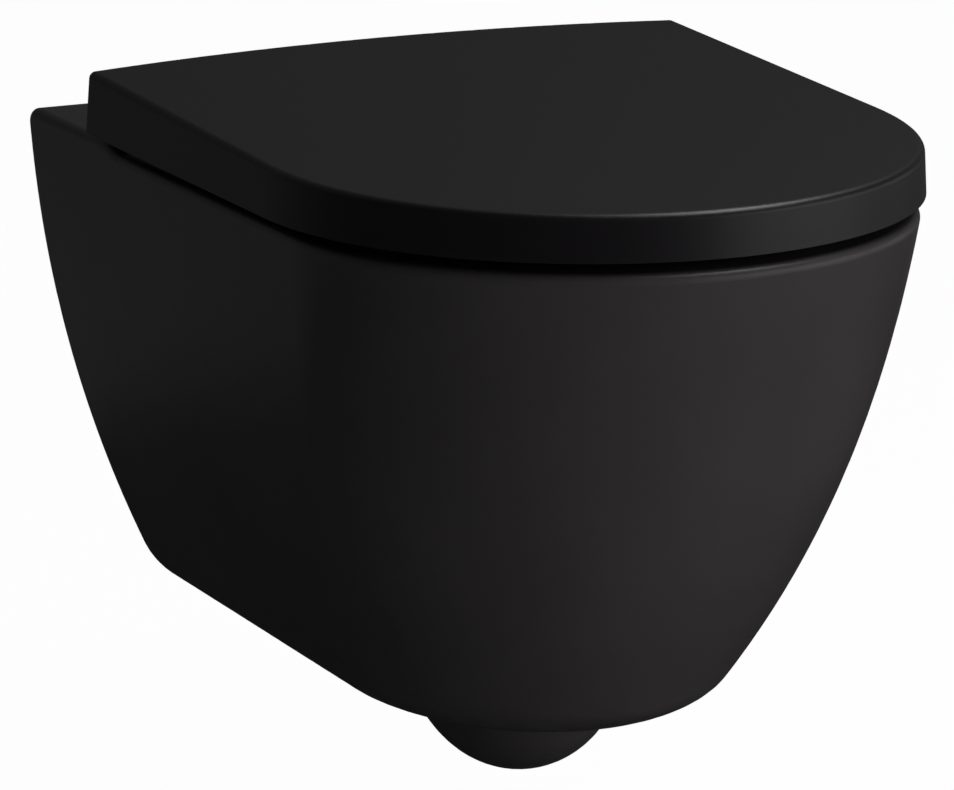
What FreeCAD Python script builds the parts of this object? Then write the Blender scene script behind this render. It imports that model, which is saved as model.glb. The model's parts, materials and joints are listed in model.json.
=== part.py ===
"""Wall hung rimless toilet with a wrap-over soft-close seat, in millimetres.

Frame: X to the right of a person facing the toilet, +Y into the wall, +Z up.
The origin is the middle of the two wall bolts, on the wall face (y = 0).
Heights named *_z are measured from the origin; the ceramic rim is at RIM_Z.
"""
import FreeCAD, Part
import math
import os

V = FreeCAD.Vector
X_AXIS = V(1, 0, 0)
Y_AXIS = V(0, 1, 0)
Z_AXIS = V(0, 0, 1)

# ---- driving dimensions: connections to the wall frame ----
BOLT_SPACING = 180.0        # between the two M12 wall rods
BOLT_HOLE_R = 6.5
INLET_Z = 35.0              # flush pipe above the rods
INLET_R = 27.5              # socket for a 55 mm flush pipe
OUTLET_Z = -100.0           # waste horn below the rods
OUTLET_R = 51.0             # horn outside radius, for a 102 mm connector
HORN_LENGTH = 40.0
HORN_GAP = 12.0             # the horn stops this far short of the wall
HORN_SKIN = 8.0
HORN_FLOOR = 2.0            # thickness left at the horn's inner end
INLET_BOSS_R = 40.0
INLET_BOSS_LENGTH = 72.0
INLET_GAP = 2.0             # the boss stops this far short of the wall
INLET_DEPTH = 50.0          # of the socket, from the wall

# ---- driving dimensions: wall fixing ----
SLEEVE_HALF_WIDTH = 34.0    # square ceramic sleeve round one bracket
SLEEVE_HALF_HEIGHT = 33.0
SLEEVE_DEPTH = 112.0
SLEEVE_WEB_X = 162.0        # its web ends inside the flank
SLEEVE_WEB_DEPTH = 70.0
SLEEVE_WEB_HALF = 9.0
POCKET_HALF_WIDTH = 24.0    # hole of the sleeve, open at both ends
POCKET_HALF_HEIGHT = 20.5
KEY_HOLE_R = 9.0            # way down for the key and the screw head
SCREW_HOLE_R = 5.0
BRACKET_HALF_WIDTH = 23.0
BRACKET_HALF_HEIGHT = 20.0
BRACKET_DEPTH = 100.0
BRACKET_EDGE = 4.0
SCREW_R = 4.0               # M8
SCREW_HEAD_R = 6.0
SCREW_HEAD_HEIGHT = 8.0
SCREW_LENGTH = 66.0
NUT_HALF = 11.0
NUT_HEIGHT = 7.0

# ---- driving dimensions: ceramic ----
HALF_WIDTH = 180.0
PROJECTION = 538.0          # wall to the tip of the rim
RIM_Z = 82.0
DECK_RISE = 4.5             # the rear deck stands this much above the rim
DECK_END = 106.0            # distance from the wall where the deck starts to fall
DECK_FALL = 30.0            # length of the fall from the deck to the rim
DECK_FALL_EASE = 0.45       # how softly it starts and ends, as a share of its length
DECK_LAND = 4.0             # the rim's thickness starts this far past the deck's end
RIM_EDGE = 5.0              # radius of the outer edge of the rim
REAR_EDGE = 9.0             # radius where the deck meets the wall
SKIN = 13.0                 # ceramic thickness of the skirt
SIDE_LEAN = 0.0726          # slope of the flank at the rim
SIDE_CURVE = 0.00066        # and how fast it draws in below: square
SIDE_TUCK = 2.53e-7         # and cube of the depth
NOSE_LEAN = 0.2461          # slope of the front at the rim
NOSE_TUCK = 2.70e-6         # and how fast it draws in: cube of the depth
NOSE_SHARE = 0.32           # half-ellipse front as a share of the projection
FLANK_DEPTH = 264.8         # flank ends and the bottom rounding starts, at the wall
BOTTOM_ROUND_Z = 28.0
BOTTOM_ROUND_SIDE = 20.0
BOTTOM_ROUND_NOSE = 65.5
BOTTOM_TILT = 0.82          # degrees that the underside falls towards the front
FLANK_STEPS = 4
BOTTOM_ANGLES = (0, 10, 25, 42, 60, 77, 90)     # degrees along the bottom rounding

# ---- driving dimensions: bowl and trap ----
OPENING_HALF = 134.0
OPENING_CENTRE = 345.0
OPENING_FRONT = 147.0
OPENING_REAR = 172.0
LIP_DEPTH = 13.0
BOWL_SKIN = 10.0
BOWL_ROWS = (               # depth below the rim, half width, centre, front, rear
    (12.0, 141.0, 345.0, 153.0, 178.0),
    (55.0, 134.0, 344.0, 147.0, 170.0),
    (100.0, 113.0, 340.0, 127.0, 145.0),
    (140.0, 85.0, 333.0, 98.0, 110.0),
    (180.0, 57.0, 324.0, 66.0, 66.0),
)
TRAP_R = 38.0
TRAP_SKIN = 9.0
TRAP_BEND = 48.0
TRAP_RISE = 70.0            # degrees of the leg up to the weir
TRAP_CLIMB = 86.0           # and its straight length
TRAP_FALL = 40.0            # degrees of the leg down from the weir
TRAP_MIN_FALL = 4.0         # and its least straight length
TRAP_LOW_Z = -167.0         # centre of the lower bend
TRAP_END_Y = -20.0          # the trap's bore runs into the horn up to here
WELL_Y = -315.0
WELL_Z = RIM_Z - 228.0
WELL_LAP = 30.0             # the trap starts this far up in the well
WELL_FOOT = 234.0           # depth of the bowl's last oval, just inside the trap
WELL_FOOT_INSET = 2.0

# ---- driving dimensions: flush water ----
FLUSH_NECK_R = 20.0
FLUSH_SKIN = 9.0
FLUSH_NECK_REAR = -65.0
FLUSH_NECK_FRONT = -165.0
FLUSH_BORE_FRONT = -160.0   # the neck's bore ends in the chamber
CHAMBER_HALF_WIDTH = 62.0
CHAMBER_HALF_HEIGHT = 27.0
CHAMBER_REAR = -126.0
CHAMBER_FRONT = -182.0
CHAMBER_WALL = 10.0         # also how far its hollow runs on into the bowl

# ---- driving dimensions: seat, lid and hinges ----
HINGE_X = 77.5              # hinge holes are 155 mm apart
HINGE_Y = -86.0
HINGE_Z = RIM_Z + 29.0
DECK_Z = RIM_Z + DECK_RISE
DECK_HOLE_R = 8.0
BASE_R = 22.0               # rosette
BASE_TOP = DECK_Z + 3.5
BASE_EDGE = 1.5
STUD_R = 6.5
STUD_TOP = DECK_Z + 8.0
STUD_FIT = 0.05             # play round the stud, the button and the cartridges
STUD_HEADROOM = 0.1
BUTTON_R = 4.2
BUTTON_Z = HINGE_Z - 10.0
BUTTON_EDGE = 1.2
BUTTON_BORE_DEPTH = 5.0     # the spring lies in the bore past the hinge line
SPRING_LENGTH = 4.2
SPRING_GAP = 0.4            # between the spring and the button
SPRING_TURNS = 3
SPRING_R = 2.8
SPRING_WIRE = 0.3           # half the side of its square wire
PIN_R = 4.0
PIN_BORE_R = 4.06
PIN_SHORT = 1.5             # each end stops this far inside the knuckle
PIN_CHAMFER = 0.6
BARREL_R = 9.5
CARTRIDGE_R = 7.2
GROOVE_DEPTH = 0.6          # retaining groove of the cartridge
GROOVE_WIDTH = 2.0
GROOVE_INSET = 6.0
POST_HALF = 9.0
POST_DEPTH = 8.0
BUTTON_END = HINGE_Y + POST_DEPTH + 2.0
KNUCKLE_GAP = 0.5
KNUCKLE_LENGTH = 26.0
BOLT_HEAD_R = 5.4
BOLT_HEAD_HEIGHT = 2.8
BOLT_SEAT_R = 5.5
BOLT_SEAT_DEPTH = 3.0
BOLT_SHANK_R = 3.9
BOLT_DEPTH = 50.0           # below the deck
PLUG_R = 7.8
PLUG_DEPTH = 32.0
PLUG_GAP = 0.2              # to the rosette above and the conical nut below
CONE_TOP_R = 7.6
CONE_LOW_R = 5.6
CONE_HEIGHT = 12.0
CONE_BORE_R = 3.95

LID_HALF = 187.4
LID_REAR = -97.0
LID_REAR_BOW = 10.0
LID_CORNER = 4.5
LID_CENTRE = 350.0
LID_NOSE = 183.4
LID_TOP_REAR = RIM_Z + 45.1
LID_TOP_FRONT = RIM_Z + 28.8
LID_LOW_REAR = RIM_Z + 9.4
LID_LOW_FRONT = RIM_Z + 5.9
LID_CROWN = 2.6
LID_SKIN = 5.0
LID_DRAFT = 0.05
LID_EDGE = 4.0
LID_INNER_CORNER = 4.0
LID_WEB_LAP = 6.0           # the knuckle webs end this far inside the lid
LID_BLOCK_LOW = RIM_Z - 20.0    # the outline is drawn up between these heights
LID_BLOCK_HIGH = RIM_Z + 70.0   # and then trimmed by sloping slabs
LID_SLAB = 120.0
LID_REAR_OPEN_HALF = 150.0  # the rear skirt is cut away over the hinges
LID_REAR_OPEN_TOP = RIM_Z + 21.0
LID_PAD_PLACES = ((140.0, -190.0), (128.0, -430.0))
LID_PAD = dict(length=20.0, width=9.0)
LID_PAD_GAP = 0.3           # over the seat

SEAT_HALF = 178.0
SEAT_REAR = -120.0
SEAT_CORNER = 34.0
SEAT_CENTRE = 358.0
SEAT_NOSE = 168.0
SEAT_LOW = RIM_Z + 9.0
SEAT_TOP_REAR = RIM_Z + 29.0
SEAT_TOP_FRONT = RIM_Z + 20.5
SEAT_HOLE = dict(half_width=112.0, centre=335.0, front=133.0, rear=115.0)
SEAT_EDGE = 5.0
SEAT_WEB_LAP = 14.0         # the knuckle webs end this far inside the ring
SEAT_PAD_PLACES = ((157.0, -215.0), (150.0, -400.0))
SEAT_PAD = dict(length=34.0, width=13.0)
SEAT_PAD_GAP = 0.1          # over the rim

REAR_OVERRUN = 3.0          # lofted shapes run this far past the wall face
OVER = 10.0                 # cutting shapes run this far past the face they open
REACH = 300.0               # half width of shapes that trim the whole pan or seat
SAME = 0.01                 # lengths closer than this count as equal
LEFT = -1
RIGHT = 1
SIDES = {"left": LEFT, "right": RIGHT}


# ---------------------------------------------------------------- helpers
def box(x0, x1, y0, y1, z0, z1):
    return Part.makeBox(x1 - x0, y1 - y0, z1 - z0, V(x0, y0, z0))


def rod(radius, start, axis, length):
    return Part.makeCylinder(radius, length, start, axis)


def tube(outer, inner, start, axis, length):
    return rod(outer, start, axis, length).cut(rod(inner, start, axis, length))


def prism_hex(radius, start, height):
    """Six-sided key socket, drawn upwards from start."""
    points = []
    for i in range(7):
        a = math.pi * i / 3
        points.append(start + V(radius * math.cos(a), radius * math.sin(a), 0))
    return Part.Face(Part.makePolygon(points)).extrude(V(0, 0, height))


def mirrored(shape, side):
    """The shape as drawn is the right-hand one."""
    return shape if side == RIGHT else shape.mirror(V(0, 0, 0), X_AXIS)


def prism_yz(points, x0, x1):
    """Straight-sided profile in the YZ plane, drawn out along X."""
    wire = Part.makePolygon([V(x0, y, z) for y, z in points + points[:1]])
    return Part.Face(wire).extrude(V(x1 - x0, 0, 0))


def half_ellipse(half_width, centre, nose, z):
    """Front of a plan outline, from the right side round the tip to the left side."""
    middle = V(0, -centre, z)
    right = V(half_width, -centre, z)
    left = V(-half_width, -centre, z)
    tip = V(0, -centre - nose, z)
    if abs(half_width - nose) < 0.01:
        return Part.Arc(right, tip, left).toShape()
    if half_width > nose:
        return Part.Ellipse(right, tip, middle).toShape(0, math.pi)
    return Part.Ellipse(tip, left, middle).toShape(-math.pi / 2, math.pi / 2)


def egg(half_width, centre, front, rear, z):
    """Closed oval of two half ellipses that meet at the widest line."""
    back = half_ellipse(half_width, centre, rear, z)
    back.rotate(V(0, -centre, z), Z_AXIS, 180)
    return Part.Wire([half_ellipse(half_width, centre, front, z), back])


def u_outline(half_width, rear, bow, corner, centre, nose, z):
    """Plan outline with parallel sides, a half-ellipse front and a gently bowed rear."""
    edge_y = rear - bow
    inner_x = half_width - corner
    bend = corner * (1 - math.sqrt(0.5))
    right = V(half_width, -centre, z)
    left = V(-half_width, -centre, z)
    corner_right = V(half_width, edge_y - corner, z)
    corner_left = V(-half_width, edge_y - corner, z)
    rear_right = V(inner_x, edge_y, z)
    rear_left = V(-inner_x, edge_y, z)
    rear_edge = Part.LineSegment(rear_left, rear_right)
    if bow:
        rear_edge = Part.Arc(rear_left, V(0, rear, z), rear_right)
    edges = [
        rear_edge.toShape(),
        Part.Arc(rear_right, V(half_width - bend, edge_y - bend, z), corner_right).toShape(),
        Part.LineSegment(corner_right, right).toShape(),
        half_ellipse(half_width, centre, nose, z),
        Part.LineSegment(left, corner_left).toShape(),
        Part.Arc(corner_left, V(-half_width + bend, edge_y - bend, z), rear_left).toShape(),
    ]
    return Part.Wire(edges)


def slab(z_rear, z_front, crown, thickness):
    """Wedge under a sloping, lightly cambered roof; used to trim upright outlines."""
    reach = 260.0
    near, far = 40.0, -640.0
    fall = (z_front - z_rear) / (LID_CENTRE + LID_NOSE + LID_REAR)
    ends = []
    for y in (near, far):
        top = z_rear + fall * (LID_REAR - y)
        side = top
        roof = Part.makeLine(V(-reach, y, top), V(reach, y, top))
        if crown:
            side = top - crown * ((reach / LID_HALF) ** 2 - 1)
            roof = Part.Arc(V(-reach, y, side), V(0, y, top + crown), V(reach, y, side)).toShape()
        low = top - thickness
        rest = Part.makePolygon([V(reach, y, side), V(reach, y, low),
                                 V(-reach, y, low), V(-reach, y, side)])
        ends.append(Part.Wire([roof] + rest.Edges))
    return Part.makeLoft(ends, True, True)


def edges_near(shape, test):
    return [edge for edge in shape.Edges if test(edge)]


# ---------------------------------------------------------------- ceramic
def skirt_wire(depth, inset=0.0, side_extra=0.0, nose_extra=0.0):
    """Plan outline of the skirt at a depth below the rim, measured at the wall.

    It starts a little inside the wall, so that one flat cut makes the contact face.
    """
    rear = REAR_OVERRUN
    side_draw = SIDE_LEAN * depth + SIDE_CURVE * depth ** 2 + SIDE_TUCK * depth ** 3
    nose_draw = NOSE_LEAN * depth + NOSE_TUCK * depth ** 3
    half = HALF_WIDTH - side_draw - inset - side_extra
    tip = PROJECTION - nose_draw - inset - nose_extra
    nose = tip * NOSE_SHARE
    centre = tip - nose
    edges = [
        Part.makeLine(V(-half, rear, 0), V(half, rear, 0)),
        Part.makeLine(V(half, rear, 0), V(half, -centre, 0)),
        half_ellipse(half, centre, nose, 0),
        Part.makeLine(V(-half, -centre, 0), V(-half, rear, 0)),
    ]
    wire = Part.Wire(edges)
    tilt = BOTTOM_TILT * max(0.0, depth / FLANK_DEPTH) ** 2
    wire.rotate(V(0, 0, 0), X_AXIS, tilt)
    wire.translate(V(0, 0, RIM_Z - depth))
    return wire


def skirt_solid(top_depth, inset=0.0):
    """The leaning flank, closed below by a rounding that is tighter at the sides."""
    flank = []
    for i in range(FLANK_STEPS + 1):
        depth = top_depth + (FLANK_DEPTH - top_depth) * i / FLANK_STEPS
        flank.append(skirt_wire(depth, inset))
    rounding = []
    for degrees in BOTTOM_ANGLES:
        a = math.radians(degrees)
        drop = (BOTTOM_ROUND_Z - inset) * math.sin(a)
        roll = 1 - math.cos(a)
        side = BOTTOM_ROUND_SIDE * roll
        nose = BOTTOM_ROUND_NOSE * roll
        rounding.append(skirt_wire(FLANK_DEPTH + drop, inset, side, nose))
    return Part.makeLoft(flank, True, False).fuse(Part.makeLoft(rounding, True, False))


def above_rim():
    """What is cleared away over the rim, leaving the deck with its soft fall."""
    start = V(-REACH, -DECK_END, DECK_Z)
    end = V(-REACH, -DECK_END - DECK_FALL, RIM_Z)
    handle = V(0, DECK_FALL * DECK_FALL_EASE, 0)
    fall = Part.BezierCurve()
    fall.setPoles([start, start - handle, end + handle, end])
    front = -PROJECTION - OVER
    top = DECK_Z + OVER
    rest = Part.makePolygon([end, V(-REACH, front, RIM_Z), V(-REACH, front, top),
                             V(-REACH, -DECK_END, top), start])
    wire = Part.Wire([fall.toShape()] + rest.Edges)
    return Part.Face(wire).extrude(V(2 * REACH, 0, 0))


def behind_wall():
    """What lies past the flat wall face, with the rounding where the deck meets the wall."""
    x = -REACH
    high = DECK_Z + OVER
    back = REAR_OVERRUN + OVER
    bend = REAR_EDGE * (1 - math.sqrt(0.5))
    start = V(x, 0, DECK_Z - REAR_EDGE)
    end = V(x, -REAR_EDGE, DECK_Z)
    arc = Part.Arc(start, V(x, -bend, DECK_Z - bend), end).toShape()
    rest = Part.makePolygon([end, V(x, -REAR_EDGE, high), V(x, back, high), V(x, back, -REACH),
                             V(x, 0, -REACH), start])
    return Part.Face(Part.Wire([arc] + rest.Edges)).extrude(V(2 * REACH, 0, 0))


def on_rim_outline(edge):
    """Top edges of the flank, without the seams that cross the rim from side to side."""
    bounds = edge.BoundBox
    across = bounds.YLength < SAME and bounds.XLength > 1
    return bounds.ZMin > DECK_Z - REAR_EDGE - 0.1 and not across


def bowl_sections(skin):
    """Bowl ovals from under the lip down to the round well."""
    foot = TRAP_R - WELL_FOOT_INSET
    wires = []
    for depth, half, centre, front, rear in BOWL_ROWS + ((WELL_FOOT, foot, -WELL_Y, foot, foot),):
        wires.append(egg(half + skin, centre, front + skin, rear + skin, RIM_Z - depth))
    return wires


def trap_path():
    """Centre line of the siphon: down from the well, round, over the weir, to the horn."""
    bend = TRAP_BEND
    rise = math.radians(TRAP_RISE)
    fall = math.radians(TRAP_FALL)

    def at(centre, angle, turn):
        """Point on an arc where the line runs at this angle above horizontal."""
        return centre + V(0, turn * bend * math.sin(angle), -turn * bend * math.cos(angle))

    low_centre = V(0, WELL_Y + bend, TRAP_LOW_Z)
    top = V(0, WELL_Y, WELL_Z + WELL_LAP)
    p0 = at(low_centre, -math.pi / 2, 1)
    p1 = at(low_centre, -math.pi / 5, 1)
    p2 = at(low_centre, rise, 1)
    p3 = p2 + V(0, math.cos(rise), math.sin(rise)) * TRAP_CLIMB
    crest = p3 + V(0, math.sin(rise), -math.cos(rise)) * bend
    p4 = at(crest, 0, -1)
    p5 = at(crest, -fall, -1)
    last_drop = bend * (1 - math.cos(fall))
    slope = max(TRAP_MIN_FALL, (p5.z - OUTLET_Z - last_drop) / math.sin(fall))
    p6 = p5 + V(0, math.cos(fall), -math.sin(fall)) * slope
    out_centre = p6 + V(0, math.sin(fall), math.cos(fall)) * bend
    p7 = at(out_centre, -fall / 2, 1)
    p8 = at(out_centre, 0, 1)
    p9 = V(0, TRAP_END_Y, p8.z)
    return Part.Wire([
        Part.makeLine(top, p0),
        Part.Arc(p0, p1, p2).toShape(),
        Part.makeLine(p2, p3),
        Part.Arc(p3, p4, p5).toShape(),
        Part.makeLine(p5, p6),
        Part.Arc(p6, p7, p8).toShape(),
        Part.makeLine(p8, p9),
    ])


def trap_tube(radius):
    """Round solid along the siphon's centre line."""
    path = trap_path()
    start = path.Vertexes[0].Point
    ring = Part.Wire(Part.makeCircle(radius, start, Z_AXIS))
    return path.makePipeShell([ring], True, False)


def fixing_lug():
    """Square ceramic sleeve round one wall bracket, tied to the skirt by a web."""
    x = BOLT_SPACING / 2
    half = SLEEVE_HALF_WIDTH
    sleeve = box(x - half, x + half, -SLEEVE_DEPTH, 0, -SLEEVE_HALF_HEIGHT, SLEEVE_HALF_HEIGHT)
    web = box(x + POCKET_HALF_WIDTH, SLEEVE_WEB_X, -SLEEVE_WEB_DEPTH, 0,
              -SLEEVE_WEB_HALF, SLEEVE_WEB_HALF)
    return sleeve.fuse(web)


def fixing_cuts():
    """Hole of the sleeve, and the holes for its screw above and below the bracket."""
    x = BOLT_SPACING / 2
    half = POCKET_HALF_WIDTH
    pocket = box(x - half, x + half, -SLEEVE_DEPTH - OVER, OVER,
                 -POCKET_HALF_HEIGHT, POCKET_HALF_HEIGHT)
    key_hole = rod(KEY_HOLE_R, V(HINGE_X, HINGE_Y, 0), Z_AXIS, SLEEVE_HALF_HEIGHT + OVER)
    screw_hole = rod(SCREW_HOLE_R, V(HINGE_X, HINGE_Y, -SLEEVE_HALF_HEIGHT - OVER), Z_AXIS,
                     SLEEVE_HALF_HEIGHT + OVER)
    return [pocket, key_hole, screw_hole]


def flush_way():
    """Outside of the inlet boss, its neck and the chamber behind the bowl."""
    neck_length = FLUSH_NECK_REAR - FLUSH_NECK_FRONT
    return [
        rod(INLET_BOSS_R, V(0, -INLET_GAP - INLET_BOSS_LENGTH, INLET_Z), Y_AXIS,
            INLET_BOSS_LENGTH),
        rod(FLUSH_NECK_R + FLUSH_SKIN, V(0, FLUSH_NECK_FRONT, INLET_Z), Y_AXIS, neck_length),
        box(-CHAMBER_HALF_WIDTH, CHAMBER_HALF_WIDTH, CHAMBER_FRONT, CHAMBER_REAR,
            INLET_Z - CHAMBER_HALF_HEIGHT, INLET_Z + CHAMBER_HALF_HEIGHT),
    ]


def flush_way_cuts():
    """Socket for the flush pipe, the neck's bore and the chamber's hollow."""
    half_width = CHAMBER_HALF_WIDTH - CHAMBER_WALL
    half_height = CHAMBER_HALF_HEIGHT - FLUSH_SKIN
    return [
        rod(INLET_R, V(0, -INLET_DEPTH, INLET_Z), Y_AXIS, INLET_DEPTH + OVER),
        rod(FLUSH_NECK_R, V(0, FLUSH_BORE_FRONT, INLET_Z), Y_AXIS,
            OVER - INLET_DEPTH - FLUSH_BORE_FRONT),
        box(-half_width, half_width, CHAMBER_FRONT - CHAMBER_WALL, CHAMBER_REAR - CHAMBER_WALL,
            INLET_Z - half_height, INLET_Z + half_height),
    ]


def ceramic_pan():
    """One casting: skirt, rim and deck, bowl, trap, horn, flush way and bracket sleeves."""
    outer = skirt_solid(-DECK_RISE)
    outer = outer.cut([above_rim(), behind_wall()])
    outer = outer.makeFillet(RIM_EDGE, edges_near(outer, on_rim_outline))
    hollow = skirt_solid(SKIN - DECK_RISE, inset=SKIN)
    top_skin = box(-REACH, REACH, -PROJECTION, -DECK_END - DECK_LAND, RIM_Z - SKIN, RIM_Z)
    hollow = hollow.cut(top_skin)
    shell = outer.cut(hollow)

    bowl_outer = Part.makeLoft(bowl_sections(BOWL_SKIN), True, False)
    trap_outer = trap_tube(TRAP_R + TRAP_SKIN)
    horn_start = V(0, -HORN_GAP - HORN_LENGTH, OUTLET_Z)
    horn = rod(OUTLET_R, horn_start, Y_AXIS, HORN_LENGTH)
    solids = [bowl_outer, trap_outer, horn] + flush_way()
    for side in SIDES.values():
        solids.append(mirrored(fixing_lug(), side))
    pan = shell.fuse(solids)

    opening = egg(OPENING_HALF, OPENING_CENTRE, OPENING_FRONT, OPENING_REAR, RIM_Z + OVER)
    cuts = [
        Part.Face(opening).extrude(V(0, 0, -OVER - LIP_DEPTH)),
        Part.makeLoft(bowl_sections(0.0), True, False),
        trap_tube(TRAP_R),
        rod(OUTLET_R - HORN_SKIN, horn_start + V(0, HORN_FLOOR, 0), Y_AXIS, HORN_LENGTH + OVER),
    ]
    cuts += flush_way_cuts()
    for side in SIDES.values():
        for cut in fixing_cuts():
            cuts.append(mirrored(cut, side))
        cuts.append(rod(DECK_HOLE_R, V(side * HINGE_X, HINGE_Y, RIM_Z - SKIN - OVER), Z_AXIS,
                        SKIN + DECK_RISE + 2 * OVER))
    return pan.cut(cuts)


# ---------------------------------------------------------------- wall fixing
def fixing_bracket():
    """Nylon block on one wall rod; the pan slides over it."""
    x = BOLT_SPACING / 2
    half = BRACKET_HALF_WIDTH
    body = box(x - half, x + half, -BRACKET_DEPTH, 0, -BRACKET_HALF_HEIGHT, BRACKET_HALF_HEIGHT)
    lengthwise = edges_near(body, lambda e: e.BoundBox.YLength > BRACKET_DEPTH - SAME)
    body = body.makeFillet(BRACKET_EDGE, lengthwise)
    bore = rod(BOLT_HOLE_R, V(x, -BRACKET_DEPTH - OVER, 0), Y_AXIS, BRACKET_DEPTH + 2 * OVER)
    screw = rod(SCREW_R + 0.1, V(HINGE_X, HINGE_Y, -BRACKET_HALF_HEIGHT - OVER), Z_AXIS,
                2 * (BRACKET_HALF_HEIGHT + OVER))
    return body.cut([bore, screw])


def fixing_screw():
    """M8 screw, turned from above through the hinge hole."""
    top = BRACKET_HALF_HEIGHT + SCREW_HEAD_HEIGHT
    head = rod(SCREW_HEAD_R, V(HINGE_X, HINGE_Y, BRACKET_HALF_HEIGHT), Z_AXIS, SCREW_HEAD_HEIGHT)
    shank = rod(SCREW_R, V(HINGE_X, HINGE_Y, BRACKET_HALF_HEIGHT - SCREW_LENGTH), Z_AXIS,
                SCREW_LENGTH)
    key = prism_hex(3.0, V(HINGE_X, HINGE_Y, top - 5), 5 + OVER)
    return head.fuse(shank).cut(key)


def fixing_nut():
    """Square nut under the ceramic sleeve."""
    top = -SLEEVE_HALF_HEIGHT
    plate = box(HINGE_X - NUT_HALF, HINGE_X + NUT_HALF, HINGE_Y - NUT_HALF, HINGE_Y + NUT_HALF,
                top - NUT_HEIGHT, top)
    thread = rod(SCREW_R + 0.05, V(HINGE_X, HINGE_Y, top - NUT_HEIGHT - OVER), Z_AXIS,
                 NUT_HEIGHT + 2 * OVER)
    return plate.cut(thread)


# ---------------------------------------------------------------- hinges
def hinge_base():
    """Steel rosette on the deck with the stud that the post clips on."""
    disc = rod(BASE_R, V(HINGE_X, HINGE_Y, DECK_Z), Z_AXIS, BASE_TOP - DECK_Z)
    rim = edges_near(disc, lambda e: abs(e.BoundBox.ZMin - BASE_TOP) < SAME)
    disc = disc.makeFillet(BASE_EDGE, rim)
    stud = rod(STUD_R, V(HINGE_X, HINGE_Y, BASE_TOP), Z_AXIS, STUD_TOP - BASE_TOP)
    bore = rod(BOLT_SHANK_R + 0.1, V(HINGE_X, HINGE_Y, DECK_Z - OVER), Z_AXIS, 3 * OVER)
    seat = rod(BOLT_SEAT_R, V(HINGE_X, HINGE_Y, STUD_TOP - BOLT_SEAT_DEPTH), Z_AXIS, OVER)
    return disc.fuse(stud).cut([bore, seat])


def hinge_post():
    """Upright that carries the hinge pin and hides the release button."""
    low = BASE_TOP
    body = box(HINGE_X - POST_HALF, HINGE_X + POST_HALF, HINGE_Y - POST_DEPTH,
               HINGE_Y + POST_DEPTH, low, HINGE_Z)
    crown = rod(POST_DEPTH, V(HINGE_X - POST_HALF, HINGE_Y, HINGE_Z), X_AXIS, 2 * POST_HALF)
    cuts = [
        rod(PIN_R, V(HINGE_X - POST_HALF - OVER, HINGE_Y, HINGE_Z), X_AXIS, 2 * (POST_HALF + OVER)),
        rod(STUD_R + STUD_FIT, V(HINGE_X, HINGE_Y, low - OVER), Z_AXIS,
            STUD_TOP - low + STUD_HEADROOM + OVER),
        rod(BUTTON_R + STUD_FIT, V(HINGE_X, HINGE_Y - BUTTON_BORE_DEPTH, BUTTON_Z), Y_AXIS,
            BUTTON_BORE_DEPTH + POST_DEPTH + OVER),
    ]
    return body.fuse(crown).removeSplitter().cut(cuts)


def release_button():
    """Push button at the back of the post; frees the post from its stud."""
    body = rod(BUTTON_R, V(HINGE_X, HINGE_Y, BUTTON_Z), Y_AXIS, BUTTON_END - HINGE_Y)
    end = edges_near(body, lambda e: abs(e.BoundBox.YMin - BUTTON_END) < SAME)
    return body.makeFillet(BUTTON_EDGE, end)


def release_spring():
    """Return spring of square wire between the button and the bottom of its bore."""
    helix = Part.makeHelix(SPRING_LENGTH / SPRING_TURNS, SPRING_LENGTH, SPRING_R)
    corners = []
    for x, z in ((-1, -1), (1, -1), (1, 1), (-1, 1), (-1, -1)):
        corners.append(V(SPRING_R + x * SPRING_WIRE, 0, z * SPRING_WIRE))
    coil = helix.makePipeShell([Part.makePolygon(corners)], True, True)
    coil.rotate(V(0, 0, 0), X_AXIS, -90)
    coil.translate(V(HINGE_X, HINGE_Y - SPRING_GAP - SPRING_LENGTH, BUTTON_Z))
    return coil


def hinge_pin():
    """Steel pin pressed through the post, one end in the seat and one in the lid."""
    length = 2 * (POST_HALF + KNUCKLE_GAP + KNUCKLE_LENGTH - PIN_SHORT)
    pin = rod(PIN_R, V(HINGE_X - length / 2, HINGE_Y, HINGE_Z), X_AXIS, length)
    rings = edges_near(pin, lambda e: e.BoundBox.XLength < SAME)
    return pin.makeChamfer(PIN_CHAMFER, rings)


def hinge_bolt():
    """Bolt through the rosette, turned with a key before the post goes on."""
    head_low = STUD_TOP - BOLT_SEAT_DEPTH
    foot = DECK_Z - BOLT_DEPTH
    head = rod(BOLT_HEAD_R, V(HINGE_X, HINGE_Y, head_low), Z_AXIS, BOLT_HEAD_HEIGHT)
    shank = rod(BOLT_SHANK_R, V(HINGE_X, HINGE_Y, foot), Z_AXIS, head_low - foot)
    key = prism_hex(2.5, V(HINGE_X, HINGE_Y, head_low + 1), OVER)
    return head.fuse(shank).cut(key)


def expansion_plug():
    """Rubber sleeve that swells in the hinge hole when the bolt is turned."""
    return tube(PLUG_R, BOLT_SHANK_R + 0.1, V(HINGE_X, HINGE_Y, DECK_Z - PLUG_DEPTH), Z_AXIS,
                PLUG_DEPTH - PLUG_GAP)


def hinge_nut():
    """Conical nut drawn up into the rubber sleeve."""
    top = DECK_Z - PLUG_DEPTH - PLUG_GAP
    cone = Part.makeCone(CONE_TOP_R, CONE_LOW_R, CONE_HEIGHT, V(HINGE_X, HINGE_Y, top), -Z_AXIS)
    thread = rod(CONE_BORE_R, V(HINGE_X, HINGE_Y, top - CONE_HEIGHT - OVER), Z_AXIS,
                 CONE_HEIGHT + 2 * OVER)
    return cone.cut(thread)


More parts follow.
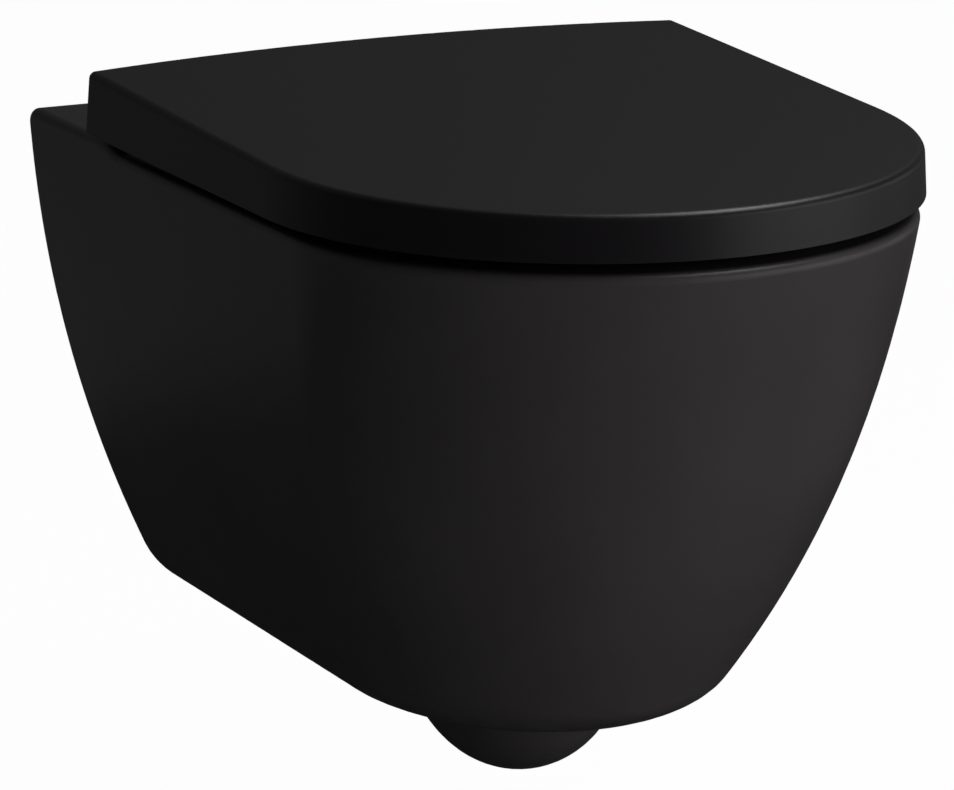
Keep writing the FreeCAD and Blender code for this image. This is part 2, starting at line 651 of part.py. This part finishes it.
def knuckle_span(outer):
    """Right-hand X range of a knuckle, inside (seat) or outside (lid) the post."""
    near = POST_HALF + KNUCKLE_GAP
    if outer:
        return HINGE_X + near, HINGE_X + near + KNUCKLE_LENGTH
    return HINGE_X - near - KNUCKLE_LENGTH, HINGE_X - near


def knuckle(outer, root_points):
    """Barrel on the hinge axis with the web that ties it to its panel."""
    x0, x1 = knuckle_span(outer)
    barrel = rod(BARREL_R, V(x0, HINGE_Y, HINGE_Z), X_AXIS, x1 - x0)
    return barrel.fuse(prism_yz(root_points, x0, x1))


def knuckle_bore(outer):
    """Hole for the cartridge or bush, right through the knuckle."""
    x0, x1 = knuckle_span(outer)
    return rod(CARTRIDGE_R + STUD_FIT, V(x0 - KNUCKLE_GAP, HINGE_Y, HINGE_Z), X_AXIS,
               x1 - x0 + 2 * KNUCKLE_GAP)


def damper(outer):
    """Sealed soft-close cartridge; its rotor is the hinge pin."""
    x0, x1 = knuckle_span(outer)
    post_end, far_end = (x0, x1) if outer else (x1, x0)
    step = 1 if outer else -1
    body = rod(CARTRIDGE_R, V(x0, HINGE_Y, HINGE_Z), X_AXIS, x1 - x0)
    bore = rod(PIN_BORE_R, V(post_end - step, HINGE_Y, HINGE_Z), V(step, 0, 0), KNUCKLE_LENGTH)
    groove = tube(CARTRIDGE_R + OVER, CARTRIDGE_R - GROOVE_DEPTH,
                  V(far_end - step * GROOVE_INSET, HINGE_Y, HINGE_Z), V(step, 0, 0), GROOVE_WIDTH)
    return body.cut([bore, groove])


def bush(outer):
    """Plain bearing sleeve in the knuckle that has no damper."""
    x0, x1 = knuckle_span(outer)
    return tube(CARTRIDGE_R, PIN_BORE_R, V(x0, HINGE_Y, HINGE_Z), X_AXIS, x1 - x0)


# ---------------------------------------------------------------- seat
def seat_top(y):
    """Height of the seat's top face along its length."""
    run = (SEAT_REAR - y) / (SEAT_CENTRE + SEAT_NOSE + SEAT_REAR)
    return SEAT_TOP_REAR + (SEAT_TOP_FRONT - SEAT_TOP_REAR) * run


def seat_ring():
    """Seat with its sloping top, rounded edges and two hinge knuckles."""
    plan = u_outline(SEAT_HALF, SEAT_REAR, 0, SEAT_CORNER, SEAT_CENTRE, SEAT_NOSE, SEAT_LOW)
    high = SEAT_TOP_REAR + OVER
    ring = Part.Face(plan).extrude(V(0, 0, high - SEAT_LOW))
    near, far = 0.0, -600.0
    over = prism_yz([(near, seat_top(near)), (far, seat_top(far)),
                     (far, high + OVER), (near, high + OVER)], -REACH, REACH)
    ring = ring.cut(over)
    hole = Part.Face(egg(z=SEAT_LOW - OVER, **SEAT_HOLE))
    ring = ring.cut(hole.extrude(V(0, 0, high - SEAT_LOW + 2 * OVER)))
    top_edges = edges_near(ring, lambda e: e.BoundBox.ZMin > SEAT_LOW + SEAT_EDGE)
    ring = ring.makeFillet(SEAT_EDGE, top_edges)
    root = SEAT_REAR - SEAT_WEB_LAP
    web = [(HINGE_Y, HINGE_Z - BARREL_R), (HINGE_Y, HINGE_Z + BARREL_R),
           (root, SEAT_TOP_REAR - 4), (root, SEAT_LOW + 3), (SEAT_REAR, SEAT_LOW + 1)]
    for side in SIDES.values():
        ring = ring.fuse(mirrored(knuckle(False, web), side))
    for side in SIDES.values():
        ring = ring.cut(mirrored(knuckle_bore(False), side))
    return ring


def pad(length, width, height, x, y, z):
    """Oblong rubber buffer lying along Y."""
    run = length - width
    ends = [rod(width / 2, V(x, y + s * run / 2, z), Z_AXIS, height) for s in (-1, 1)]
    middle = box(x - width / 2, x + width / 2, y - run / 2, y + run / 2, z, z + height)
    return middle.fuse(ends).removeSplitter()


def seat_buffers():
    """Four rubber pads under the ring that rest on the rim."""
    low = RIM_Z + SEAT_PAD_GAP
    pads = []
    for x, y in SEAT_PAD_PLACES:
        for side in SIDES.values():
            pads.append(pad(height=SEAT_LOW - low, x=side * x, y=y, z=low, **SEAT_PAD))
    return Part.makeCompound(pads)


# ---------------------------------------------------------------- lid
def lid_block(inset, low, high):
    """Upright lid outline with the small draft of its skirt."""
    wires = []
    for z in (low, high):
        lean = LID_DRAFT * (z - LID_TOP_REAR) + inset
        wires.append(u_outline(LID_HALF - lean, LID_REAR - lean, LID_REAR_BOW,
                               max(LID_CORNER - inset, LID_INNER_CORNER), LID_CENTRE,
                               LID_NOSE - lean, z))
    return Part.makeLoft(wires, True, True)


def lid_cavity():
    """Inside of the lid, under its even skin."""
    block = lid_block(LID_SKIN, LID_BLOCK_LOW, LID_BLOCK_HIGH)
    roof = slab(LID_TOP_REAR - LID_SKIN, LID_TOP_FRONT - LID_SKIN, LID_CROWN, LID_SLAB)
    return block.common(roof)


def lid_shell():
    """Wrap-over lid: cambered roof, drafted skirt, open rear and its two knuckles."""
    outer = lid_block(0, LID_BLOCK_LOW, LID_BLOCK_HIGH)
    outer = outer.common(slab(LID_TOP_REAR, LID_TOP_FRONT, LID_CROWN, LID_SLAB))
    outer = outer.cut(slab(LID_LOW_REAR, LID_LOW_FRONT, 0, LID_SLAB))
    crest = edges_near(outer, lambda e: e.BoundBox.ZMin > RIM_Z + 20)
    outer = outer.makeFillet(LID_EDGE, crest)
    lid = outer.cut(lid_cavity())
    near, far = LID_REAR + 2 * OVER, LID_REAR - 2 * OVER
    cuts = [box(-LID_REAR_OPEN_HALF, LID_REAR_OPEN_HALF, far, near, RIM_Z - OVER,
                LID_REAR_OPEN_TOP)]
    x0, x1 = knuckle_span(False)
    for side in SIDES.values():
        slot = box(x0 - 1, x1 + 1, far, near, RIM_Z, LID_TOP_REAR - LID_SKIN)
        cuts.append(mirrored(slot, side))
    lid = lid.cut(cuts)
    root = LID_REAR - LID_WEB_LAP
    web = [(HINGE_Y, HINGE_Z - BARREL_R), (HINGE_Y, HINGE_Z + BARREL_R),
           (root, HINGE_Z + BARREL_R + 1), (root, HINGE_Z - 7)]
    for side in SIDES.values():
        lid = lid.fuse(mirrored(knuckle(True, web), side))
    for side in SIDES.values():
        lid = lid.cut(mirrored(knuckle_bore(True), side))
    return lid


def lid_buffers():
    """Four small pads inside the lid that land on the seat."""
    cavity = lid_cavity()
    height = LID_TOP_REAR - SEAT_LOW
    pads = []
    for x, y in LID_PAD_PLACES:
        low = seat_top(y + 8) + LID_PAD_GAP
        for side in SIDES.values():
            block = pad(height=height, x=side * x, y=y, z=low, **LID_PAD)
            pads.append(block.common(cavity))
    return Part.makeCompound(pads)


# ---------------------------------------------------------------- export
def pairs():
    """Hinge and fixing pieces, drawn once and mirrored for the left."""
    return {
        "fixing_bracket": fixing_bracket(),
        "fixing_screw": fixing_screw(),
        "fixing_nut": fixing_nut(),
        "hinge_base": hinge_base(),
        "hinge_post": hinge_post(),
        "hinge_pin": hinge_pin(),
        "hinge_bolt": hinge_bolt(),
        "hinge_nut": hinge_nut(),
        "expansion_plug": expansion_plug(),
        "release_button": release_button(),
        "release_spring": release_spring(),
    }


def build():
    """Every node's shape by name."""
    nodes = {
        "ceramic_pan": ceramic_pan(),
        "seat_ring": seat_ring(),
        "seat_buffers": seat_buffers(),
        "seat_damper": mirrored(damper(False), LEFT),
        "seat_bush": bush(False),
        "lid_shell": lid_shell(),
        "lid_buffers": lid_buffers(),
        "lid_damper": damper(True),
        "lid_bush": mirrored(bush(True), LEFT),
    }
    for name, shape in pairs().items():
        for side_name, side in SIDES.items():
            nodes[name + "_" + side_name] = mirrored(shape, side)
    return nodes


def main():
    os.makedirs("parts", exist_ok=True)
    for name, shape in build().items():
        volume = shape.Volume / 1000
        print(f"{name:24s} solids {len(shape.Solids)}  {volume:9.1f} cm3  valid {shape.isValid()}")
        shape.exportStep(f"parts/{name}.step")


main()
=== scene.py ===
"""Looks of the wall hung toilet: materials, floor, studio light and camera.

Everything is in metres in the part's own frame: +X right, +Y into the wall, +Z up,
with the origin on the wall face between the two wall bolts.
"""

import json
import math

import bpy
from mathutils import Matrix, Vector

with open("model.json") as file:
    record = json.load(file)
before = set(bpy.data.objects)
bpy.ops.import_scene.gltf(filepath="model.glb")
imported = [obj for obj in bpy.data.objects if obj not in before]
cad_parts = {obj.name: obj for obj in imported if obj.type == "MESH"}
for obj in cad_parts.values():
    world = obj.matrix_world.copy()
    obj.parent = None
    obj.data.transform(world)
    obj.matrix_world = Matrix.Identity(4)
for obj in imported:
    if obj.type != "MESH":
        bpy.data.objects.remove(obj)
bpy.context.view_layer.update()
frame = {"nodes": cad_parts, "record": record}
NODES = frame["nodes"]

CAMERA_AZIMUTH = -26.98          # degrees, 0 looks along +Y
CAMERA_ELEVATION = 13.77
CAMERA_ROLL = 0.30
CAMERA_DISTANCE = 3.568
CAMERA_LENS = 239.42             # mm, like the sensor's width
CAMERA_SENSOR = 36.0
CAMERA_TARGET = Vector((0.0, -0.260, -0.038))
CAMERA_AIM_RIGHT = -0.01546      # how far the view's centre lies beside the target
CAMERA_AIM_UP = -0.00950         # and above it
CAMERA_CLIP = (0.1, 200.0)

FLOOR_Z = -0.318                 # the rim is 400 mm above the finished floor
FLOOR_HALF = 60.0
FLOOR_PAINT = 0.86               # what the floor gives back of the lamps' light
FLOOR_WHITE = 0.975              # share of plain white over the paint, to the camera
AMBIENT = 0.052                  # even light from all round

IOR = 1.5
GLAZE_SPECULAR = 0.29
SHELL_SPECULAR = 0.50
RUBBER_SPECULAR = 0.35
GLAZE_ROUGH = (0.30, 0.35)       # from patch to patch, before the speckle adds its own
SPECKLE_ROUGH = (0.0, 0.05)
SHELL_ROUGH = (0.36, 0.42)
MOULDED_SPREAD = (-0.05, 0.05)   # round the roughness of each plastic
METAL_SPREAD = (-0.04, 0.06)
METAL_DULL = (0.0, 0.08)         # what the duller patches of a metal add
BARE_ROUGHER = 0.45              # how much rougher the bare body is than the glaze
SHADE_BAND = (0.35, 0.65)        # noise values between which a colour changes,
GRAIN_BAND = (0.3, 0.7)          # the roughness changes,
DULL_BAND = (0.4, 0.7)           # and a metal turns duller
WALL_FACE_DEPTH = 0.0008         # the bare face is what lies this near the wall plane
WALL_FACE_NORMAL = 0.9           # and faces the wall at least this squarely

# Colours are linear red, green and blue.
BLACK_GLAZE = (0.0215, 0.0196, 0.0198, 1.0)
BLACK_SHELL = (0.0036, 0.0028, 0.0036, 1.0)
BARE_BODY = (0.60, 0.58, 0.54, 1.0)
RUBBER = (0.022, 0.022, 0.023, 1.0)
DAMPER_GREY = (0.10, 0.10, 0.105, 1.0)
BUTTON_GREY = (0.30, 0.30, 0.31, 1.0)
NATURAL_NYLON = (0.62, 0.60, 0.54, 1.0)
BLACK_NYLON = (0.055, 0.056, 0.058, 1.0)
ZINC = (0.62, 0.64, 0.66, 1.0)
STAINLESS = (0.58, 0.57, 0.55, 1.0)
SPRING_WIRE = (0.55, 0.54, 0.52, 1.0)
BLACK_METAL = (0.030, 0.030, 0.031, 1.0)
DRAWN = (1.0, 1.0, 12.0)         # grain along one axis, as on drawn bar

# Each lamp's place, the point it aims at, size, watts, and whether reflections
# show the lamp itself.
CENTRE = (0.0, -0.27, -0.05)
LAMPS = {
    "key_right": ((1.50, -1.88, 0.15), CENTRE, (3.2, 1.4), 65.0, False),
    "side_left": ((-1.1, 0.45, -0.24), (-0.1, -0.15, -0.2), (0.8, 0.12), 1.6, False),
    "low_front": ((0.1, -2.4, -0.23), (0.0, -0.3, -0.2), (1.6, 0.14), 15.0, False),
    "top": ((1.05, -0.4, 2.2), CENTRE, (2.2, 0.8), 31.0, True),
}

# The upright cards stand round the object: shade, start, end, foot and top.
CARD_LOW = FLOOR_Z + 0.002
CARD_HIGH = 2.35
BACK_Y, FRONT_Y, LEFT_X, RIGHT_X = 0.45, -3.0, -3.5, 2.6
KEY_START, KEY_END = (RIGHT_X, -1.2), (1.0, FRONT_Y)
RIGHT_TOP, KEY_TOP = 0.7, 1.0
UPRIGHT_CARDS = {
    "card_behind": (0.07, (LEFT_X, BACK_Y), (-LEFT_X, BACK_Y), CARD_LOW, CARD_HIGH),
    "card_left": (0.036, (-1.2, -2.6), (-1.2, 0.2), CARD_LOW, CARD_HIGH),
    "card_front": (0.06, KEY_END, (LEFT_X, FRONT_Y), CARD_LOW, CARD_HIGH),
    "card_right": (0.40, (RIGHT_X, BACK_Y), KEY_START, CARD_LOW, RIGHT_TOP),
    "card_right_high": (0.02, (RIGHT_X, BACK_Y), KEY_START, RIGHT_TOP, CARD_HIGH),
    "card_key": (1.04, KEY_START, KEY_END, CARD_LOW, KEY_TOP),
    "card_key_high": (0.02, KEY_START, KEY_END, KEY_TOP, CARD_HIGH),
}
# The level cards lie on the floor and hang overhead: shade and height.
LEVEL_CARDS = {"card_low": (0.012, CARD_LOW), "card_high": (0.02, CARD_HIGH)}
LEVEL_FRONT_Y = -4.0


# ---------------------------------------------------------------- node helpers
class Graph:
    """A material's node tree, with short calls for the nodes used here."""

    def __init__(self, name):
        self.material = bpy.data.materials.new(name)
        self.material.use_nodes = True
        self.tree = self.material.node_tree
        self.tree.nodes.clear()
        self.out = self.add("ShaderNodeOutputMaterial")

    def add(self, kind, **settings):
        node = self.tree.nodes.new(kind)
        for name, value in settings.items():
            setattr(node, name, value)
        return node

    def link(self, source, target):
        self.tree.links.new(source, target)

    def put(self, node, **values):
        """Sets a node's inputs by name, with _ for each space."""
        for name, value in values.items():
            node.inputs[name.replace("_", " ")].default_value = value
        return node

    def position(self):
        """The point in the piece's own coordinates, in metres."""
        return self.add("ShaderNodeTexCoord").outputs["Object"]

    def y_above(self, vector, limit):
        """1 where the vector's Y is above the limit, else 0."""
        split = self.add("ShaderNodeSeparateXYZ")
        self.link(vector, split.inputs["Vector"])
        return self.math("GREATER_THAN", split.outputs["Y"], limit)

    def wall_face(self):
        """1 on the flat face that stands on the wall and 0 on the rest of the piece."""
        coordinates = self.add("ShaderNodeTexCoord").outputs
        near = self.y_above(coordinates["Object"], -WALL_FACE_DEPTH)
        square = self.y_above(coordinates["Normal"], WALL_FACE_NORMAL)
        return self.math("MULTIPLY", near, square)

    def noise(self, scale, detail, roughness=0.5, stretch=None):
        """Value of a noise texture over the piece's own coordinates."""
        vector = self.position()
        if stretch is not None:
            mapping = self.add("ShaderNodeMapping")
            mapping.inputs["Scale"].default_value = stretch
            self.link(vector, mapping.inputs["Vector"])
            vector = mapping.outputs["Vector"]
        node = self.put(
            self.add("ShaderNodeTexNoise"),
            Scale=scale, Detail=detail, Roughness=roughness,
        )
        self.link(vector, node.inputs["Vector"])
        return node.outputs["Fac"]

    def ramp(self, source, band, span=(0.0, 1.0)):
        """The source's values in the band, turned into the span."""
        node = self.add("ShaderNodeMapRange")
        self.put(node, From_Min=band[0], From_Max=band[1], To_Min=span[0], To_Max=span[1])
        self.link(source, node.inputs["Value"])
        return node.outputs["Result"]

    def math(self, operation, a, b):
        """One math node; a and b are numbers or sockets."""
        node = self.add("ShaderNodeMath", operation=operation)
        for socket, value in zip(node.inputs, (a, b)):
            if isinstance(value, (int, float)):
                socket.default_value = value
            else:
                self.link(value, socket)
        return node.outputs[0]

    def mottle(self, source, colour, dark, light):
        """The colour between two of its shades, as the source goes up and down."""
        mix = self.ramp(source, SHADE_BAND)
        return self.blend(mix, tone(colour, dark), tone(colour, light))

    def blend(self, factor, a, b):
        """Colour a where factor is 0, colour b where it is 1."""
        node = self.add("ShaderNodeMix", data_type="RGBA")
        self.link(factor, node.inputs["Factor"])
        inputs = [s for s in node.inputs if s.type == "RGBA"]
        for socket, value in zip(inputs, (a, b)):
            if isinstance(value, tuple):
                socket.default_value = value
            else:
                self.link(value, socket)
        return [s for s in node.outputs if s.type == "RGBA"][0]

    def bump(self, height, strength, distance, before=None):
        """A bent normal; distance is in metres, before is the normal it starts from."""
        node = self.add("ShaderNodeBump")
        self.put(node, Strength=strength, Distance=distance)
        self.link(height, node.inputs["Height"])
        if before is not None:
            self.link(before, node.inputs["Normal"])
        return node.outputs["Normal"]

    def principled(self, **values):
        """The one surface shader, with its uniform values set."""
        node = self.put(self.add("ShaderNodeBsdfPrincipled"), **values)
        self.link(node.outputs["BSDF"], self.out.inputs["Surface"])
        return node


def tone(colour, factor):
    """The colour, lighter or darker by a factor."""
    return tuple(c * factor for c in colour[:3]) + (1.0,)


def around(value, spread):
    """The value moved down and up by the spread's two ends."""
    return tuple(value + end for end in spread)


# ---------------------------------------------------------------- materials
def glaze_material():
    """Matte black glaze, with the bare pale body where the pan stands on the wall."""
    g = Graph("matte_black_glaze")
    shader = g.principled(IOR=IOR, Specular_IOR_Level=GLAZE_SPECULAR)
    cloud = g.noise(scale=9.0, detail=3.0)
    speckle = g.noise(scale=900.0, detail=2.0, roughness=0.6)
    bare = g.wall_face()
    black = g.mottle(cloud, BLACK_GLAZE, dark=0.93, light=1.06)
    chalk = g.mottle(speckle, BARE_BODY, dark=0.92, light=1.04)
    slow = g.ramp(cloud, GRAIN_BAND, GLAZE_ROUGH)
    fine = g.ramp(speckle, GRAIN_BAND, SPECKLE_ROUGH)
    dry = g.math("MULTIPLY", bare, BARE_ROUGHER)
    waves = g.bump(g.noise(scale=14.0, detail=2.0), strength=0.10, distance=0.004)
    skin = g.bump(speckle, strength=0.05, distance=0.0002, before=waves)
    g.link(g.blend(bare, black, chalk), shader.inputs["Base Color"])
    g.link(g.math("ADD", g.math("ADD", slow, fine), dry), shader.inputs["Roughness"])
    g.link(skin, shader.inputs["Normal"])
    return g.material


def shell_material():
    """Matte black moulded duroplast of the lid and the seat."""
    g = Graph("matte_black_shell")
    shader = g.principled(IOR=IOR, Specular_IOR_Level=SHELL_SPECULAR)
    cloud = g.noise(scale=12.0, detail=3.0)
    grain = g.noise(scale=1400.0, detail=2.0, roughness=0.6)
    skin = g.bump(grain, strength=0.06, distance=0.00015)
    g.link(g.mottle(cloud, BLACK_SHELL, dark=0.95, light=1.05), shader.inputs["Base Color"])
    g.link(g.ramp(grain, GRAIN_BAND, SHELL_ROUGH), shader.inputs["Roughness"])
    g.link(skin, shader.inputs["Normal"])
    return g.material


def moulded_material(name, colour, roughness, specular=0.5):
    """A moulded plastic or rubber: fine grain and a slow change of shade."""
    g = Graph(name)
    shader = g.principled(IOR=IOR, Specular_IOR_Level=specular)
    cloud = g.noise(scale=60.0, detail=3.0)
    grain = g.noise(scale=1200.0, detail=2.0, roughness=0.6)
    rough = g.ramp(grain, GRAIN_BAND, around(roughness, MOULDED_SPREAD))
    g.link(g.mottle(cloud, colour, dark=0.88, light=1.1), shader.inputs["Base Color"])
    g.link(rough, shader.inputs["Roughness"])
    g.link(g.bump(grain, strength=0.08, distance=0.0002), shader.inputs["Normal"])
    return g.material


def metal_material(name, colour, roughness, stretch=(1.0, 1.0, 1.0)):
    """A metal with a fine drawn or turned grain and slightly duller patches."""
    g = Graph(name)
    shader = g.principled(Metallic=1.0)
    cloud = g.noise(scale=80.0, detail=4.0)
    grain = g.noise(scale=400.0, detail=3.0, roughness=0.6, stretch=stretch)
    fine = g.ramp(grain, GRAIN_BAND, around(roughness, METAL_SPREAD))
    dull = g.ramp(cloud, DULL_BAND, METAL_DULL)
    g.link(g.mottle(cloud, colour, dark=0.82, light=1.0), shader.inputs["Base Color"])
    g.link(g.math("ADD", fine, dull), shader.inputs["Roughness"])
    g.link(g.bump(grain, strength=0.05, distance=0.0001), shader.inputs["Normal"])
    return g.material


def make_materials():
    """One material for each of the record's slots."""
    moulded, metal = moulded_material, metal_material
    return {
        "glaze": glaze_material(),
        "seat_shell": shell_material(),
        "buffer_rubber": moulded("buffer_rubber", RUBBER, 0.75, RUBBER_SPECULAR),
        "damper_body": moulded("damper_body", DAMPER_GREY, 0.45),
        "bearing_nylon": moulded("bearing_nylon", NATURAL_NYLON, 0.5),
        "bracket_nylon": moulded("bracket_nylon", BLACK_NYLON, 0.55),
        "zinc_steel": metal("zinc_plated_steel", ZINC, 0.34),
        "hinge_steel": metal("brushed_hinge_steel", STAINLESS, 0.26, DRAWN),
        "hinge_black": metal("black_hinge_metal", BLACK_METAL, 0.42),
        "button_plastic": moulded("button_plastic", BUTTON_GREY, 0.38),
        "spring_steel": metal("spring_steel", SPRING_WIRE, 0.22),
    }


def slot_of(record):
    """Material slot by node name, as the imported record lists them."""
    return {part["node"]: part["material_slot"] for part in record["subparts"]}


def dress_nodes(materials):
    """Gives each CAD node its slot's material."""
    slots = slot_of(frame["record"])
    for name, node in NODES.items():
        material = materials[slots[name]]
        node.data.materials.clear()
        node.data.materials.append(material)


# ---------------------------------------------------------------- stage
def light_path_sum(tree):
    """1 for camera, glossy and transmission rays, and 0 for the others."""
    path = tree.nodes.new("ShaderNodeLightPath")
    total = path.outputs["Is Camera Ray"]
    for name in ("Is Glossy Ray", "Is Transmission Ray"):
        node = tree.nodes.new("ShaderNodeMath")
        node.operation = "MAXIMUM"
        tree.links.new(total, node.inputs[0])
        tree.links.new(path.outputs[name], node.inputs[1])
        total = node.outputs[0]
    return total


def grey(shade):
    """A neutral colour."""
    return (shade, shade, shade, 1.0)


def make_world():
    """White to the camera and in reflections, and a dim even light to all else."""
    world = bpy.data.worlds.new("studio")
    bpy.context.scene.world = world
    world.use_nodes = True
    tree = world.node_tree
    background = tree.nodes["Background"]
    background.inputs["Color"].default_value = grey(1.0)
    strength = tree.nodes.new("ShaderNodeMapRange")
    strength.inputs["To Min"].default_value = AMBIENT
    strength.inputs["To Max"].default_value = 1.0
    tree.links.new(light_path_sum(tree), strength.inputs["Value"])
    tree.links.new(strength.outputs["Result"], background.inputs["Strength"])


def floor_material():
    """A pale floor, white to the camera with a soft shadow, and clear from below."""
    g = Graph("pale_floor")
    paint = g.add("ShaderNodeBsdfDiffuse")
    paint.inputs["Color"].default_value = grey(FLOOR_PAINT)
    white = g.add("ShaderNodeEmission")
    white.inputs["Color"].default_value = grey(1.0)
    lit = g.add("ShaderNodeMixShader")
    g.link(g.math("MULTIPLY", light_path_sum(g.tree), FLOOR_WHITE), lit.inputs["Fac"])
    g.link(paint.outputs["BSDF"], lit.inputs[1])
    g.link(white.outputs["Emission"], lit.inputs[2])
    clear = g.add("ShaderNodeBsdfTransparent")
    sides = g.add("ShaderNodeMixShader")
    g.link(g.add("ShaderNodeNewGeometry").outputs["Backfacing"], sides.inputs["Fac"])
    g.link(lit.outputs["Shader"], sides.inputs[1])
    g.link(clear.outputs["BSDF"], sides.inputs[2])
    g.link(sides.outputs["Shader"], g.out.inputs["Surface"])
    return g.material


def make_plane(name, corners, material):
    """A flat sheet of the stage with these corners."""
    mesh = bpy.data.meshes.new(name)
    mesh.from_pydata(corners, [], [tuple(range(len(corners)))])
    mesh.materials.append(material)
    plane = bpy.data.objects.new(name, mesh)
    bpy.context.scene.collection.objects.link(plane)
    return plane


def make_floor():
    h = FLOOR_HALF
    corners = [(-h, -h, FLOOR_Z), (h, -h, FLOOR_Z), (h, h, FLOOR_Z), (-h, h, FLOOR_Z)]
    make_plane("floor", corners, floor_material())


def card_material(name, shade):
    """An even glow of one shade."""
    g = Graph(name)
    glow = g.add("ShaderNodeEmission")
    glow.inputs["Color"].default_value = grey(shade)
    g.link(glow.outputs["Emission"], g.out.inputs["Surface"])
    return g.material


def upright(start, end, foot, top):
    """Corners of a card that stands between two plan points."""
    return [(*start, foot), (*end, foot), (*end, top), (*start, top)]


def level(z):
    """Corners of a card that lies over the whole studio at this height."""
    front, right = LEVEL_FRONT_Y, -LEFT_X
    return [(LEFT_X, front, z), (right, front, z), (right, BACK_Y, z), (LEFT_X, BACK_Y, z)]


def make_cards():
    """Studio cards that only reflections see: dark ones keep the black surfaces
    black, and the pale ones on the right draw the highlights."""
    cards = [(name, shade, upright(*ends)) for name, (shade, *ends) in UPRIGHT_CARDS.items()]
    cards += [(name, shade, level(height)) for name, (shade, height) in LEVEL_CARDS.items()]
    for name, shade, corners in cards:
        card = make_plane(name, corners, card_material(name, shade))
        card.visible_camera = False
        card.visible_diffuse = False
        card.visible_shadow = False
        card.visible_transmission = False


def area_light(name, place, aim, size, power, shine):
    """A soft rectangular lamp; without shine no reflection shows it."""
    data = bpy.data.lights.new(name, "AREA")
    data.shape = "RECTANGLE"
    data.size, data.size_y = size
    data.energy = power
    lamp = bpy.data.objects.new(name, data)
    bpy.context.scene.collection.objects.link(lamp)
    lamp.location = place
    lamp.visible_glossy = shine
    lamp.rotation_mode = "QUATERNION"
    lamp.rotation_quaternion = (Vector(aim) - Vector(place)).to_track_quat("-Z", "Y")


def make_lights():
    for name, settings in LAMPS.items():
        area_light(name, *settings)


def make_camera():
    """The photograph's view: from the left front, a little above the lid."""
    a, e, r = (math.radians(v) for v in (CAMERA_AZIMUTH, CAMERA_ELEVATION, CAMERA_ROLL))
    back = Vector((math.sin(a) * math.cos(e), -math.cos(a) * math.cos(e), math.sin(e)))
    right = Vector((math.cos(a), math.sin(a), 0.0))
    up = back.cross(right)
    place = CAMERA_TARGET + back * CAMERA_DISTANCE
    cos, sin = math.cos(r), math.sin(r)
    right, up = right * cos + up * sin, up * cos - right * sin
    aim = CAMERA_TARGET + right * CAMERA_AIM_RIGHT + up * CAMERA_AIM_UP
    back = (place - aim).normalized()
    right = up.cross(back).normalized()
    up = back.cross(right)
    data = bpy.data.cameras.new("camera")
    data.lens = CAMERA_LENS
    data.sensor_width = CAMERA_SENSOR
    camera = bpy.data.objects.new("camera", data)
    bpy.context.scene.collection.objects.link(camera)
    turn = Matrix((right, up, back)).transposed().to_4x4()
    camera.matrix_world = Matrix.Translation(place) @ turn
    data.clip_start, data.clip_end = CAMERA_CLIP
    bpy.context.scene.camera = camera


def main():
    bpy.context.scene.view_settings.view_transform = "Standard"
    make_camera()
    dress_nodes(make_materials())
    make_world()
    make_floor()
    make_cards()
    make_lights()


main()
